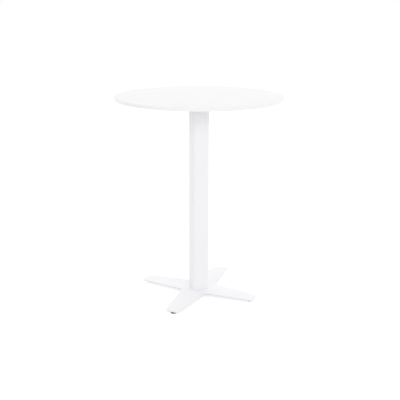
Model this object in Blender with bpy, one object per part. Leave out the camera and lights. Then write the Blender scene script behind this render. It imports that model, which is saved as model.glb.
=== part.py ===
"""A small round dining table: a thin round top on a square column and a low four-armed base with levelling feet.

Metres, +Z up. The origin is on the floor, under the column's axis. The base's arms run along +X, +Y, -X and -Y,
and the column's round corners point along the arms. Heights are worked out from the floor up, and the
column fills what is left below the top.
"""
import math

import bmesh
import bpy
from mathutils import Matrix, Vector

# Driving dimensions: the top
TABLE_HEIGHT = 0.750
TOP_DIAMETER = 0.600
TOP_THICKNESS = 0.012
EDGE_BAND_THICKNESS = 0.003
EDGE_BAND_ROUNDING = 0.0012  # of the upper arris
EDGE_BAND_LOWER_ROUNDING = 0.0024

# Driving dimensions: the column, a square tube with wide round corners
COLUMN_SIDE = 0.064
COLUMN_CORNER_RADIUS = 0.017
COLUMN_WALL = 0.002

# Driving dimensions: the base, a flat casting with four tapered arms
ARM_REACH = 0.228
ARM_TIP_WIDTH = 0.053
ARM_SIDE_TAPER = 0.115  # growth of an arm's half-width for each metre towards the hub
ARM_FILLET_RADIUS = 0.0145
ARM_TIP_CORNER_RADIUS = 0.006
ARM_EDGE_HEIGHT = 0.007
ARM_RISE = 0.0025  # from the end of an arm up to the column's seat
ARM_ROOF = 0.0035  # iron left above the pockets under an arm
ARM_SKIRT = 0.0045  # wall between a pocket and an arm's side
ARM_RIB_WIDTH = 0.008
BASE_EDGE_ROUNDING = 0.0011
BASE_SPIGOT_HEIGHT = 0.012
BASE_ROD_SEAT = 0.010  # iron that the tie rod clamps in the base
HUB_BOSS_DIAMETER = 0.050
HUB_BOSS_DEPTH = 0.012  # from the column's seat down to the bottom of the hub

# Driving dimensions: the spider that carries the top
SPIDER_REACH = 0.140
SPIDER_TIP_WIDTH = 0.028
SPIDER_SIDE_TAPER = 0.110
SPIDER_FILLET_RADIUS = 0.022
SPIDER_TIP_CORNER_RADIUS = 0.009
SPIDER_THICKNESS = 0.005
SPIDER_SPIGOT_HEIGHT = 0.018
SPIDER_ROD_SEAT = 0.008  # iron that the tie rod clamps in the spider
SCREW_INNER_RADIUS = 0.070  # distance of the inner screws from the axis
SCREW_END_MARGIN = 0.012  # from an outer screw to the end of its arm

# Driving dimensions: fasteners
SCREW_DIAMETER = 0.004
SCREW_BITE = 0.008  # depth of a wood screw in the board
SCREW_POINT = 0.003
SCREW_HEAD_DIAMETER = 0.008
SCREW_HEAD_HEIGHT = 0.0026
ROD_DIAMETER = 0.008
ROD_OVERHANG = 0.0025  # thread past each nut
ROD_CHAMFER = 0.0008
NUT_FLATS = 0.013
NUT_HEIGHT = 0.0065
NUT_CHAMFER = 0.0007
WASHER_DIAMETER = 0.016
WASHER_THICKNESS = 0.0016
SPRING_WASHER_DIAMETER = 0.0148
SPRING_WASHER_THICKNESS = 0.002
SPRING_WASHER_SPLIT = 0.0018
SOCKET_CLEARANCE = 0.0035  # room for a box spanner around the washers

# Driving dimensions: a levelling foot, screwed all the way in
FOOT_SETBACK = 0.017  # from the end of an arm to the foot's axis
FOOT_BOSS_DIAMETER = 0.018
FOOT_BOSS_PROUD = 0.0004
FOOT_ROOF = 0.002  # iron left above the foot's threaded hole
PAD_DIAMETER = 0.023
PAD_HEIGHT = 0.0045
PAD_ROUNDING = 0.0008
PAD_DISH = 0.001  # the pad's rim lies this much lower than its middle
PAD_FLOOR = 0.0015
COLLAR_DIAMETER = 0.009
COLLAR_HEIGHT = 0.0012
NECK_DIAMETER = 0.0055
SPINDLE_DIAMETER = 0.006
SPINDLE_CHAMFER = 0.0006
SPINDLE_END_CLEARANCE = 0.0005
HEX_FLATS = 0.010
HEX_HEIGHT = 0.0022

# Clearances between pieces
SEAT_GAP = 0.0003  # between faces that rest on each other
FIT_GAP = 0.0003  # all round a piece in a hole
HOLE_CLEARANCE = 0.0005  # all round a bolt or screw in a clearance hole

# Facets of round shapes
TOP_FACETS = 128
ROUND_FACETS = 24
SCREW_FACETS = 12
CORNER_FACETS = 6
EDGE_FACETS = 3

# Heights and places that follow
FOOT_BOSS_BOTTOM = PAD_HEIGHT + SEAT_GAP + HEX_HEIGHT + SEAT_GAP
ARM_TIP_TOP = FOOT_BOSS_BOTTOM + FOOT_BOSS_PROUD + ARM_EDGE_HEIGHT
HUB_TOP = ARM_TIP_TOP + ARM_RISE
FOOT_RADIUS = ARM_REACH - FOOT_SETBACK
BASE_SEAT_Z = HUB_TOP + BASE_SPIGOT_HEIGHT - BASE_ROD_SEAT
TOP_UNDERSIDE = TABLE_HEIGHT - TOP_THICKNESS
SPIDER_TOP = TOP_UNDERSIDE - SEAT_GAP
SPIDER_BOTTOM = SPIDER_TOP - SPIDER_THICKNESS
SPIDER_SEAT_Z = SPIDER_BOTTOM - SPIDER_SPIGOT_HEIGHT + SPIDER_ROD_SEAT
COLUMN_BOTTOM = HUB_TOP + SEAT_GAP
COLUMN_TOP = SPIDER_BOTTOM - SEAT_GAP
SPIGOT_SIDE = COLUMN_SIDE - 2 * (COLUMN_WALL + FIT_GAP)
SPIGOT_CORNER_RADIUS = max(COLUMN_CORNER_RADIUS - COLUMN_WALL - FIT_GAP, FIT_GAP)
SPANNER_BORE = max(WASHER_DIAMETER, NUT_FLATS / math.cos(math.pi / 6)) + 2 * SOCKET_CLEARANCE
ROD_HOLE = ROD_DIAMETER + 2 * HOLE_CLEARANCE
SCREW_HOLE = SCREW_DIAMETER + 2 * HOLE_CLEARANCE

COLUMN_TURN = math.pi / 4
FOOT_SIDES = ("right", "back", "left", "front")
CUT_PAST = 0.005  # how far a cutter runs out past the face it opens

WHITE_COAT = {"colour": (0.86, 0.865, 0.875), "roughness": 0.42, "metallic": 0.0}
WHITE_FACING = {"colour": (0.90, 0.90, 0.90), "roughness": 0.38, "metallic": 0.0}
ZINC = {"colour": (0.66, 0.67, 0.68), "roughness": 0.35, "metallic": 1.0}
BLACK_PLASTIC = {"colour": (0.018, 0.018, 0.02), "roughness": 0.55, "metallic": 0.0}


# Rings of points
def circle(diameter, height, facets=ROUND_FACETS, centre=(0.0, 0.0)):
    """A level ring of points, anticlockwise from above."""
    points = []
    for i in range(facets):
        angle = 2 * math.pi * i / facets
        x = centre[0] + diameter / 2 * math.cos(angle)
        y = centre[1] + diameter / 2 * math.sin(angle)
        points.append(Vector((x, y, height)))
    return points


def hexagon(flats, height, facets=ROUND_FACETS):
    """A level hexagon with as many points as a circle, so that the two can be joined."""
    points = []
    for i in range(facets):
        angle = 2 * math.pi * i / facets
        off_middle = angle % (math.pi / 3) - math.pi / 6
        radius = flats / 2 / math.cos(off_middle)
        points.append(Vector((radius * math.cos(angle), radius * math.sin(angle), height)))
    return points


def rounded_square(side, corner_radius, height, turn=0.0):
    """A level square with round corners, turned about the axis."""
    points = []
    inset = side / 2 - corner_radius
    for quarter in range(4):
        for i in range(CORNER_FACETS + 1):
            angle = math.pi / 2 * i / CORNER_FACETS
            x = inset + corner_radius * math.cos(angle)
            y = inset + corner_radius * math.sin(angle)
            points.append(Matrix.Rotation(turn + quarter * math.pi / 2, 3, "Z") @ Vector((x, y, 0.0)))
    return [Vector((p.x, p.y, height)) for p in points]


# Solids from rings
def loft(bm, rings, closed=False):
    """Join rings of equal count with quads; cap both ends, or join the last ring to the first."""
    rows = [[bm.verts.new(point) for point in ring] for ring in rings]
    pairs = list(zip(rows, rows[1:]))
    if closed:
        pairs.append((rows[-1], rows[0]))
    else:
        bm.faces.new(rows[0])
        bm.faces.new(rows[-1])
    count = len(rows[0])
    for low, high in pairs:
        for i in range(count):
            j = (i + 1) % count
            bm.faces.new((low[i], low[j], high[j], high[i]))


def turned(bm, profile, facets=ROUND_FACETS, centre=(0.0, 0.0), closed=False):
    """A turned solid from a list of (diameter, height); a closed profile makes a ring."""
    loft(bm, [circle(diameter, height, facets, centre) for diameter, height in profile], closed)


def prism(bm, outline, bottoms, tops):
    """An upright solid over an outline of (x, y), with a height below and above each point."""
    low = [Vector((x, y, z)) for (x, y), z in zip(outline, bottoms)]
    high = [Vector((x, y, z)) for (x, y), z in zip(outline, tops)]
    loft(bm, [low, high])


def arm_outline(reach, tip_width, taper, fillet_radius, corner_radius):
    """One arm of a star along +X, from the diagonal on its -Y side round its tip to the one on its +Y side."""
    slant = math.hypot(1.0, taper)
    lean = math.atan(taper)
    half = tip_width / 2
    middle = (half + taper * reach + fillet_radius * slant) / (1 + taper)
    corner_x = reach - corner_radius
    corner_y = half + (taper - slant) * corner_radius
    side = []
    for i in range(CORNER_FACETS + 1):
        angle = (math.pi / 2 - lean) * i / CORNER_FACETS
        side.append((corner_x + corner_radius * math.cos(angle), corner_y + corner_radius * math.sin(angle)))
    for i in range(CORNER_FACETS + 1):
        angle = -math.pi / 2 - lean - (math.pi / 4 - lean) * i / CORNER_FACETS
        side.append((middle + fillet_radius * math.cos(angle), middle + fillet_radius * math.sin(angle)))
    return [(x, -y) for x, y in reversed(side)] + side


def star_slab(bm, outline, bottom, top):
    """A slab with four equal arms. bottom and top give its heights at a distance along an arm."""
    layers = []
    for height in (bottom, top):
        rim = []
        for quarter in range(4):
            turn = Matrix.Rotation(quarter * math.pi / 2, 3, "Z")
            rim.append([bm.verts.new(turn @ Vector((x, y, height(x)))) for x, y in outline[:-1]])
        for quarter in range(4):
            bm.faces.new(rim[quarter] + [rim[(quarter + 1) % 4][0]])
        bm.faces.new([arm[0] for arm in rim])
        layers.append([vertex for arm in rim for vertex in arm])
    low, high = layers
    for i in range(len(low)):
        j = (i + 1) % len(low)
        bm.faces.new((low[i], low[j], high[j], high[i]))


# Objects
def finish_material(name, finish):
    """A plain material with the piece's colour, roughness and metallic value."""
    material = bpy.data.materials.new(name)
    material.use_nodes = True
    shader = material.node_tree.nodes["Principled BSDF"]
    shader.inputs["Base Color"].default_value = (*finish["colour"], 1.0)
    shader.inputs["Roughness"].default_value = finish["roughness"]
    shader.inputs["Metallic"].default_value = finish["metallic"]
    return material


def mesh_object(name, bm):
    """An object from a bmesh, with its faces pointing out and its round sides smooth."""
    bmesh.ops.recalc_face_normals(bm, faces=bm.faces)
    mesh = bpy.data.meshes.new(name)
    bm.to_mesh(mesh)
    bm.free()
    mesh.shade_smooth()
    mesh.set_sharp_from_angle(angle=math.radians(35))
    obj = bpy.data.objects.new(name, mesh)
    bpy.context.scene.collection.objects.link(obj)
    return obj


def piece(name, bm, finish, location=(0.0, 0.0, 0.0), parent=None):
    """A named piece of the table."""
    obj = mesh_object(name, bm)
    obj.data.materials.append(finish_material(name, finish))
    obj.location = location
    obj.parent = parent
    return obj


def combine(obj, operation, name, bm):
    """Join a hidden shape to an object, or cut it out, with a Boolean modifier."""
    tool = mesh_object(name, bm)
    tool.hide_render = True
    tool.display_type = "WIRE"
    boolean = obj.modifiers.new(name, "BOOLEAN")
    boolean.operation = operation
    boolean.object = tool


def guide(name, location):
    """An empty that holds a group of pieces."""
    empty = bpy.data.objects.new(name, None)
    empty.location = location
    bpy.context.scene.collection.objects.link(empty)
    return empty


# The top
def screw_places():
    """The wood screws' places: an inner and an outer one on each arm of the spider."""
    places = []
    for quarter in range(4):
        for distance in (SCREW_INNER_RADIUS, SPIDER_REACH - SCREW_END_MARGIN):
            angle = quarter * math.pi / 2
            places.append((distance * math.cos(angle), distance * math.sin(angle)))
    return places


def build_top_board():
    """The round faced board, with a pilot hole for each wood screw."""
    diameter = TOP_DIAMETER - 2 * (EDGE_BAND_THICKNESS + SEAT_GAP)
    bm = bmesh.new()
    turned(bm, [(diameter, TOP_UNDERSIDE), (diameter, TABLE_HEIGHT)], TOP_FACETS)
    board = piece("top_board", bm, WHITE_FACING)
    holes = bmesh.new()
    hole = SCREW_DIAMETER + 2 * FIT_GAP
    for place in screw_places():
        depth = SCREW_BITE + FIT_GAP
        turned(holes, [(hole, TOP_UNDERSIDE - CUT_PAST), (hole, TOP_UNDERSIDE + depth)], SCREW_FACETS, place)
    combine(board, "DIFFERENCE", "pilot_holes", holes)


def build_edge_band():
    """The edge band, a ring round the board with its outer arrises rounded."""
    most = min(0.9 * EDGE_BAND_THICKNESS, 0.4 * TOP_THICKNESS)
    upper = min(EDGE_BAND_ROUNDING, most)
    lower = min(EDGE_BAND_LOWER_ROUNDING, most)
    inner = TOP_DIAMETER - 2 * EDGE_BAND_THICKNESS
    profile = [(inner, TABLE_HEIGHT), (inner, TOP_UNDERSIDE)]
    for start, middle, radius in ((-90, TOP_UNDERSIDE + lower, lower), (0, TABLE_HEIGHT - upper, upper)):
        for i in range(EDGE_FACETS + 1):
            angle = math.radians(start + 90 * i / EDGE_FACETS)
            diameter = TOP_DIAMETER - 2 * radius + 2 * radius * math.cos(angle)
            profile.append((diameter, middle + radius * math.sin(angle)))
    bm = bmesh.new()
    turned(bm, profile, TOP_FACETS, closed=True)
    piece("top_edge_band", bm, WHITE_FACING)


def build_spider():
    """The four-armed spider under the board, with a spigot that drops into the column."""
    outline = arm_outline(
        SPIDER_REACH, SPIDER_TIP_WIDTH, SPIDER_SIDE_TAPER, SPIDER_FILLET_RADIUS, SPIDER_TIP_CORNER_RADIUS
    )
    bm = bmesh.new()
    star_slab(bm, outline, lambda along: SPIDER_BOTTOM, lambda along: SPIDER_TOP)
    spider = piece("top_spider", bm, WHITE_COAT)
    spigot = bmesh.new()
    spigot_heights = (SPIDER_BOTTOM - SPIDER_SPIGOT_HEIGHT, SPIDER_BOTTOM + SPIDER_THICKNESS / 2)
    loft(spigot, [rounded_square(SPIGOT_SIDE, SPIGOT_CORNER_RADIUS, z, COLUMN_TURN) for z in spigot_heights])
    combine(spider, "UNION", "spider_spigot", spigot)
    holes = bmesh.new()
    bore_profile = [
        (ROD_HOLE, spigot_heights[0] - CUT_PAST),
        (ROD_HOLE, SPIDER_SEAT_Z),
        (SPANNER_BORE, SPIDER_SEAT_Z),
        (SPANNER_BORE, SPIDER_TOP + CUT_PAST),
    ]
    turned(holes, bore_profile)
    for place in screw_places():
        ends = [(SCREW_HOLE, SPIDER_BOTTOM - CUT_PAST), (SCREW_HOLE, SPIDER_TOP + CUT_PAST)]
        turned(holes, ends, SCREW_FACETS, place)
    combine(spider, "DIFFERENCE", "spider_holes", holes)


def build_spider_screws():
    """Round-headed wood screws, driven up through the spider into the board."""
    bearing = SPIDER_BOTTOM - SEAT_GAP
    point = TOP_UNDERSIDE + SCREW_BITE - bearing
    profile = [
        (0.5 * SCREW_HEAD_DIAMETER, -SCREW_HEAD_HEIGHT),
        (0.86 * SCREW_HEAD_DIAMETER, -0.72 * SCREW_HEAD_HEIGHT),
        (SCREW_HEAD_DIAMETER, -0.3 * SCREW_HEAD_HEIGHT),
        (SCREW_HEAD_DIAMETER, 0.0),
        (SCREW_DIAMETER, 0.0),
        (SCREW_DIAMETER, point - SCREW_POINT),
        (0.15 * SCREW_DIAMETER, point),
    ]
    for number, (x, y) in enumerate(screw_places(), start=1):
        bm = bmesh.new()
        turned(bm, profile, SCREW_FACETS)
        piece(f"spider_screw_{number}", bm, ZINC, (x, y, bearing))


# The column and its tie rod
def build_column():
    """The square tube with wide round corners, standing on the hub."""
    inner_side = COLUMN_SIDE - 2 * COLUMN_WALL
    inner_radius = max(COLUMN_CORNER_RADIUS - COLUMN_WALL, FIT_GAP)
    length = COLUMN_TOP - COLUMN_BOTTOM
    rings = [
        rounded_square(COLUMN_SIDE, COLUMN_CORNER_RADIUS, 0.0),
        rounded_square(COLUMN_SIDE, COLUMN_CORNER_RADIUS, length),
        rounded_square(inner_side, inner_radius, length),
        rounded_square(inner_side, inner_radius, 0.0),
    ]
    bm = bmesh.new()
    loft(bm, rings, closed=True)
    column = piece("column", bm, WHITE_COAT, (0.0, 0.0, COLUMN_BOTTOM))
    column.rotation_euler = (0.0, 0.0, COLUMN_TURN)


def build_washer(name, bottom):
    """A flat washer on the tie rod."""
    bore = ROD_DIAMETER + 2 * FIT_GAP
    top = WASHER_THICKNESS
    bm = bmesh.new()
    turned(bm, [(bore, 0.0), (WASHER_DIAMETER, 0.0), (WASHER_DIAMETER, top), (bore, top)], closed=True)
    piece(name, bm, ZINC, (0.0, 0.0, bottom))


def build_nut(name, bottom):
    """A hexagon nut on the tie rod, with its corners chamfered."""
    bore = ROD_DIAMETER + 2 * FIT_GAP
    rings = [
        circle(bore, 0.0),
        circle(NUT_FLATS, 0.0),
        hexagon(NUT_FLATS, NUT_CHAMFER),
        hexagon(NUT_FLATS, NUT_HEIGHT - NUT_CHAMFER),
        circle(NUT_FLATS, NUT_HEIGHT),
        circle(bore, NUT_HEIGHT),
    ]
    bm = bmesh.new()
    loft(bm, rings, closed=True)
    piece(name, bm, ZINC, (0.0, 0.0, bottom))


def build_spring_washer(name, bottom):
    """A split spring washer, pressed flat under its nut."""
    inner = ROD_DIAMETER / 2 + FIT_GAP
    outer = SPRING_WASHER_DIAMETER / 2
    half_split = SPRING_WASHER_SPLIT / (inner + outer)
    rings = []
    for i in range(ROUND_FACETS + 1):
        angle = half_split + (2 * math.pi - 2 * half_split) * i / ROUND_FACETS
        ring = []
        for radius, height in ((inner, 0), (outer, 0), (outer, 1), (inner, 1)):
            z = height * SPRING_WASHER_THICKNESS
            ring.append(Vector((radius * math.cos(angle), radius * math.sin(angle), z)))
        rings.append(ring)
    bm = bmesh.new()
    loft(bm, rings)
    piece(name, bm, ZINC, (0.0, 0.0, bottom))


def build_tie_rod():
    """The rod that clamps base, column and spider together, with its nuts and washers."""
    bottom_washer = BASE_SEAT_Z - SEAT_GAP - WASHER_THICKNESS
    spring_washer = bottom_washer - SEAT_GAP - SPRING_WASHER_THICKNESS
    bottom_nut = spring_washer - SEAT_GAP - NUT_HEIGHT
    top_washer = SPIDER_SEAT_Z + SEAT_GAP
    top_nut = top_washer + WASHER_THICKNESS + SEAT_GAP
    build_washer("tie_rod_bottom_washer", bottom_washer)
    build_spring_washer("tie_rod_spring_washer", spring_washer)
    build_nut("tie_rod_bottom_nut", bottom_nut)
    build_washer("tie_rod_top_washer", top_washer)
    build_nut("tie_rod_top_nut", top_nut)
    low = bottom_nut - ROD_OVERHANG
    length = top_nut + NUT_HEIGHT + ROD_OVERHANG - low
    end = ROD_DIAMETER - 2 * ROD_CHAMFER
    profile = [(end, 0.0), (ROD_DIAMETER, ROD_CHAMFER), (ROD_DIAMETER, length - ROD_CHAMFER), (end, length)]
    bm = bmesh.new()
    turned(bm, profile)
    piece("tie_rod", bm, ZINC, (0.0, 0.0, low))


# The base and its feet
def base_outline():
    """The plan of one arm of the base."""
    return arm_outline(ARM_REACH, ARM_TIP_WIDTH, ARM_SIDE_TAPER, ARM_FILLET_RADIUS, ARM_TIP_CORNER_RADIUS)


def arm_top(along):
    """Height of an arm's upper face: level at the hub, then falling evenly to the end of the arm."""
    hub_half = base_outline()[-1][0]
    fall = min(max((along - hub_half) / (ARM_REACH - hub_half), 0.0), 1.0)
    return HUB_TOP - ARM_RISE * fall


def arm_underside(along):
    """Height of an arm's lower rim."""
    return arm_top(along) - ARM_EDGE_HEIGHT


def foot_places():
    """The feet's places, in the order of their names."""
    return [(FOOT_RADIUS * math.cos(k * math.pi / 2), FOOT_RADIUS * math.sin(k * math.pi / 2)) for k in range(4)]


def base_bosses():
    """The spigot inside the column, the hub under it and a boss over each foot."""
    bm = bmesh.new()
    inside = HUB_TOP - ARM_EDGE_HEIGHT / 2
    loft(bm, [
        rounded_square(SPIGOT_SIDE, SPIGOT_CORNER_RADIUS, inside + SEAT_GAP, COLUMN_TURN),
        rounded_square(SPIGOT_SIDE, SPIGOT_CORNER_RADIUS, HUB_TOP + BASE_SPIGOT_HEIGHT, COLUMN_TURN),
    ])
    turned(bm, [(HUB_BOSS_DIAMETER, HUB_TOP - HUB_BOSS_DEPTH), (HUB_BOSS_DIAMETER, inside - SEAT_GAP)])
    boss_top = arm_top(FOOT_RADIUS) - ARM_EDGE_HEIGHT / 2
    for place in foot_places():
        turned(bm, [(FOOT_BOSS_DIAMETER, FOOT_BOSS_BOTTOM), (FOOT_BOSS_DIAMETER, boss_top)], centre=place)
    return bm


def base_cuts():
    """The tie rod's bore, the feet's threaded holes and two pockets beside the rib of each arm."""
    bm = bmesh.new()
    bore_profile = [
        (SPANNER_BORE, HUB_TOP - HUB_BOSS_DEPTH - CUT_PAST),
        (SPANNER_BORE, BASE_SEAT_Z),
        (ROD_HOLE, BASE_SEAT_Z),
        (ROD_HOLE, HUB_TOP + BASE_SPIGOT_HEIGHT + CUT_PAST),
    ]
    turned(bm, bore_profile)
    hole = SPINDLE_DIAMETER + 2 * FIT_GAP
    hole_top = arm_top(FOOT_RADIUS) - FOOT_ROOF
    for place in foot_places():
        turned(bm, [(hole, FOOT_BOSS_BOTTOM - CUT_PAST), (hole, hole_top)], centre=place)
    near = base_outline()[-1 - CORNER_FACETS][0]
    far = FOOT_RADIUS - FOOT_BOSS_DIAMETER / 2 - ARM_SKIRT
    rib = ARM_RIB_WIDTH / 2
    plan = []
    for along in (near, far):
        side = ARM_TIP_WIDTH / 2 + ARM_SIDE_TAPER * (ARM_REACH - along) - ARM_SKIRT
        plan.append(((along, rib), (along, side)))
    (near_rib, near_side), (far_rib, far_side) = plan
    for quarter in range(4):
        turn = Matrix.Rotation(quarter * math.pi / 2, 2)
        for mirror in (1, -1):
            pocket = [near_rib, far_rib, far_side, near_side]
            points = [turn @ Vector((x, mirror * y)) for x, y in pocket]
            bottoms = [arm_underside(x) - CUT_PAST for x, y in pocket]
            tops = [arm_top(x) - ARM_ROOF for x, y in pocket]
            prism(bm, points, bottoms, tops)
    return bm


def build_star_base():
    """The four-armed casting: rounded edges, bosses and spigot, then the bores and pockets."""
    bm = bmesh.new()
    star_slab(bm, base_outline(), arm_underside, arm_top)
    base = piece("star_base", bm, WHITE_COAT)
    rounding = base.modifiers.new("edge_rounding", "BEVEL")
    rounding.width = BASE_EDGE_ROUNDING
    rounding.segments = 2
    rounding.limit_method = "ANGLE"
    rounding.angle_limit = math.radians(45)
    combine(base, "UNION", "base_bosses", base_bosses())
    combine(base, "DIFFERENCE", "base_cuts", base_cuts())


def build_foot_pad(side, foot):
    """The plastic pad that stands on the floor, with a groove that holds the spindle's collar."""
    cavity = COLLAR_DIAMETER + 2 * FIT_GAP
    cavity_top = PAD_FLOOR + SEAT_GAP + COLLAR_HEIGHT + SEAT_GAP
    neck = NECK_DIAMETER + 2 * FIT_GAP
    profile = [
        (PAD_DIAMETER - 2 * PAD_ROUNDING, 0.0),
        (PAD_DIAMETER, PAD_ROUNDING),
        (PAD_DIAMETER, PAD_HEIGHT - PAD_DISH),
        ((PAD_DIAMETER + HEX_FLATS) / 2, PAD_HEIGHT),
        (neck, PAD_HEIGHT),
        (neck, cavity_top),
        (cavity, cavity_top),
        (cavity, PAD_FLOOR),
    ]
    bm = bmesh.new()
    turned(bm, profile)
    piece(f"foot_pad_{side}", bm, BLACK_PLASTIC, parent=foot)


def build_foot_spindle(side, foot):
    """The threaded spindle: a collar in the pad, a hexagon for a spanner and a thread up into the arm."""
    collar = PAD_FLOOR + SEAT_GAP
    hex_bottom = PAD_HEIGHT + SEAT_GAP
    hex_top = hex_bottom + HEX_HEIGHT
    end = arm_top(FOOT_RADIUS) - FOOT_ROOF - SPINDLE_END_CLEARANCE
    rings = [
        circle(COLLAR_DIAMETER, collar),
        circle(COLLAR_DIAMETER, collar + COLLAR_HEIGHT),
        circle(NECK_DIAMETER, collar + COLLAR_HEIGHT),
        circle(NECK_DIAMETER, hex_bottom),
        hexagon(HEX_FLATS, hex_bottom),
        hexagon(HEX_FLATS, hex_top),
        circle(SPINDLE_DIAMETER, hex_top),
        circle(SPINDLE_DIAMETER, end - SPINDLE_CHAMFER),
        circle(SPINDLE_DIAMETER - 2 * SPINDLE_CHAMFER, end),
    ]
    bm = bmesh.new()
    loft(bm, rings)
    piece(f"foot_spindle_{side}", bm, ZINC, parent=foot)


def build_feet():
    """A levelling foot under each arm; its pieces hang on an empty that lies on the foot's axis."""
    for side, (x, y) in zip(FOOT_SIDES, foot_places()):
        foot = guide(f"foot_{side}_axis", (x, y, 0.0))
        build_foot_pad(side, foot)
        build_foot_spindle(side, foot)


def main():
    for obj in list(bpy.data.objects):
        bpy.data.objects.remove(obj, do_unlink=True)
    build_top_board()
    build_edge_band()
    build_spider()
    build_spider_screws()
    build_column()
    build_tie_rod()
    build_star_base()
    build_feet()


main()
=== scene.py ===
"""The looks of a small round dining table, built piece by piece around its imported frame.

Metres, +Z up, in the frame's own axes: the origin is on the floor under the column, and the base's
arms run along +X, +Y, -X and -Y. Each piece is a fine mesh with a procedural finish, rides on one
body and stands for the solid of the same part.
"""
import math
from collections import namedtuple

import bmesh
import bpy
from bpy.props import FloatProperty, FloatVectorProperty, PointerProperty
from bpy.types import Operator, Panel, PropertyGroup
from mathutils import Matrix, Vector


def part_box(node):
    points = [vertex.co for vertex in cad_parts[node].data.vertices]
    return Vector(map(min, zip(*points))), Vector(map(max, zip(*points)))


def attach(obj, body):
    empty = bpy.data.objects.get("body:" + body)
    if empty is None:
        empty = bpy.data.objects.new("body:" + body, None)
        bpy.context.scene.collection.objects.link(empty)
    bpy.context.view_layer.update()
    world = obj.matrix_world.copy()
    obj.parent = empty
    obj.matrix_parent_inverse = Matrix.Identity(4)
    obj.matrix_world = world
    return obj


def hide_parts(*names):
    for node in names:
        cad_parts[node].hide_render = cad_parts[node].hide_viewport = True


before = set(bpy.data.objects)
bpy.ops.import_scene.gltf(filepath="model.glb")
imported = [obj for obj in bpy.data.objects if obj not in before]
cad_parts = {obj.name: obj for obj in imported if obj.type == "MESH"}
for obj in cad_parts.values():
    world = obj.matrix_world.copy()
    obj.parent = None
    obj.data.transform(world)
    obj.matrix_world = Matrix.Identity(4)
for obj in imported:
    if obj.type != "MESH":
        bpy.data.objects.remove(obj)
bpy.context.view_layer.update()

bl_info = {
    "name": "Round Pedestal Table",
    "version": (1, 0, 0),
    "blender": (4, 5, 0),
    "location": "View3D > Sidebar > Round Table",
    "description": "Builds a small white round dining table on a square column and a four-armed base",
    "category": "Add Mesh",
}

FOOT_SIDES = ("right", "back", "left", "front")
ARM_ANGLES = tuple(quarter * math.pi / 2 for quarter in range(4))  # in the same order
COLUMN_TURN = math.pi / 4  # the column's corners point along the arms

# Facets of round shapes
TOP_FACETS = 256
ROUND_FACETS = 48
SCREW_FACETS = 24
CORNER_STEPS = 14
EDGE_STEPS = 5
THREAD_ROWS = 8  # rows of points for each turn of a thread
SHARP_ANGLE = math.radians(38)  # edges that turn more than this stay sharp

# Clearances between pieces
SEAT_GAP = 0.0001  # between faces that rest on each other
FIT_GAP = 0.0003  # all round a piece in a hole
HOLE_CLEARANCE = 0.0005  # all round a bolt or screw in a clearance hole
CUT_PAST = 0.005  # how far a cutter runs out past the face it opens

# Small shapes that several pieces share
SPIGOT_LEAD = 0.0015  # bevel that leads a spigot into the column
CHAMFER_FALL = math.tan(math.radians(30.0))  # of the turned chamfers on hexagons
CREST_SHARPNESS = 0.7  # of a thread's crests; lower is blunter
POINT_LENGTH = 0.25  # part of a pointed thread that narrows


# Sizes that the frame gives
def span(node):
    """Width, depth and height of a solid of the frame."""
    low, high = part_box(node)
    return high - low


TOP_SPAN = span("top_edge_band")
TABLE_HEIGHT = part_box("top_edge_band")[1].z
BASE_SPAN = span("star_base")
PAD_SPAN = span("foot_pad_right")


# Kinds of property
def size(label, text, default):
    """A length in metres."""
    return FloatProperty(name=label, description=text, default=default, min=0.0, precision=4, unit="LENGTH")


def share(label, text, default):
    """A number from 0 to 1."""
    return FloatProperty(name=label, description=text, default=default, min=0.0, max=1.0, subtype="FACTOR")


def slope(label, text, default):
    """Metres of change for each metre along a piece."""
    return FloatProperty(name=label, description=text, default=default, min=0.0, precision=4)


def tilt(label, text, degrees):
    """An angle, given in degrees."""
    angle = math.radians(degrees)
    return FloatProperty(
        name=label, description=text, default=angle, precision=4, subtype="ANGLE", unit="ROTATION"
    )


def tint(label, text, default):
    """A colour in linear light."""
    return FloatVectorProperty(
        name=label, description=text, default=default, size=3, min=0.0, max=1.0, subtype="COLOR"
    )


def power(label, text, default):
    """A lamp's power in watts."""
    return FloatProperty(name=label, description=text, default=default, min=0.0, unit="POWER")


class TopSizes(PropertyGroup):
    """The round board and the band round its edge."""

    height: size("Table height", "From the floor to the upper face", TABLE_HEIGHT)
    diameter: size("Diameter", "Across the top, with its edge band", TOP_SPAN.x)
    thickness: size("Thickness", "Of the board", TOP_SPAN.z)
    arris: size("Board arris", "Bevel along the board's rim, next to the band", 0.00015)
    band_thickness: size("Band thickness", "Of the plastic edge band", 0.003)
    band_rounding: size("Band rounding", "Radius of the band's upper arris", 0.0012)
    band_lower_rounding: size("Band lower rounding", "Radius of the band's lower arris", 0.0024)
    band_joint: size("Band joint", "Gap where the two ends of the band meet", 0.0002)


class ColumnSizes(PropertyGroup):
    """The square tube between base and top."""

    side: size("Side", "Across the flats of the tube", 0.064)
    corner_radius: size("Corner radius", "Outer radius of the tube's corners", 0.017)
    wall: size("Wall", "Thickness of the tube's wall", 0.002)
    end_bevel: size("End bevel", "Broken edge at the tube's ends", 0.0003)


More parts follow.
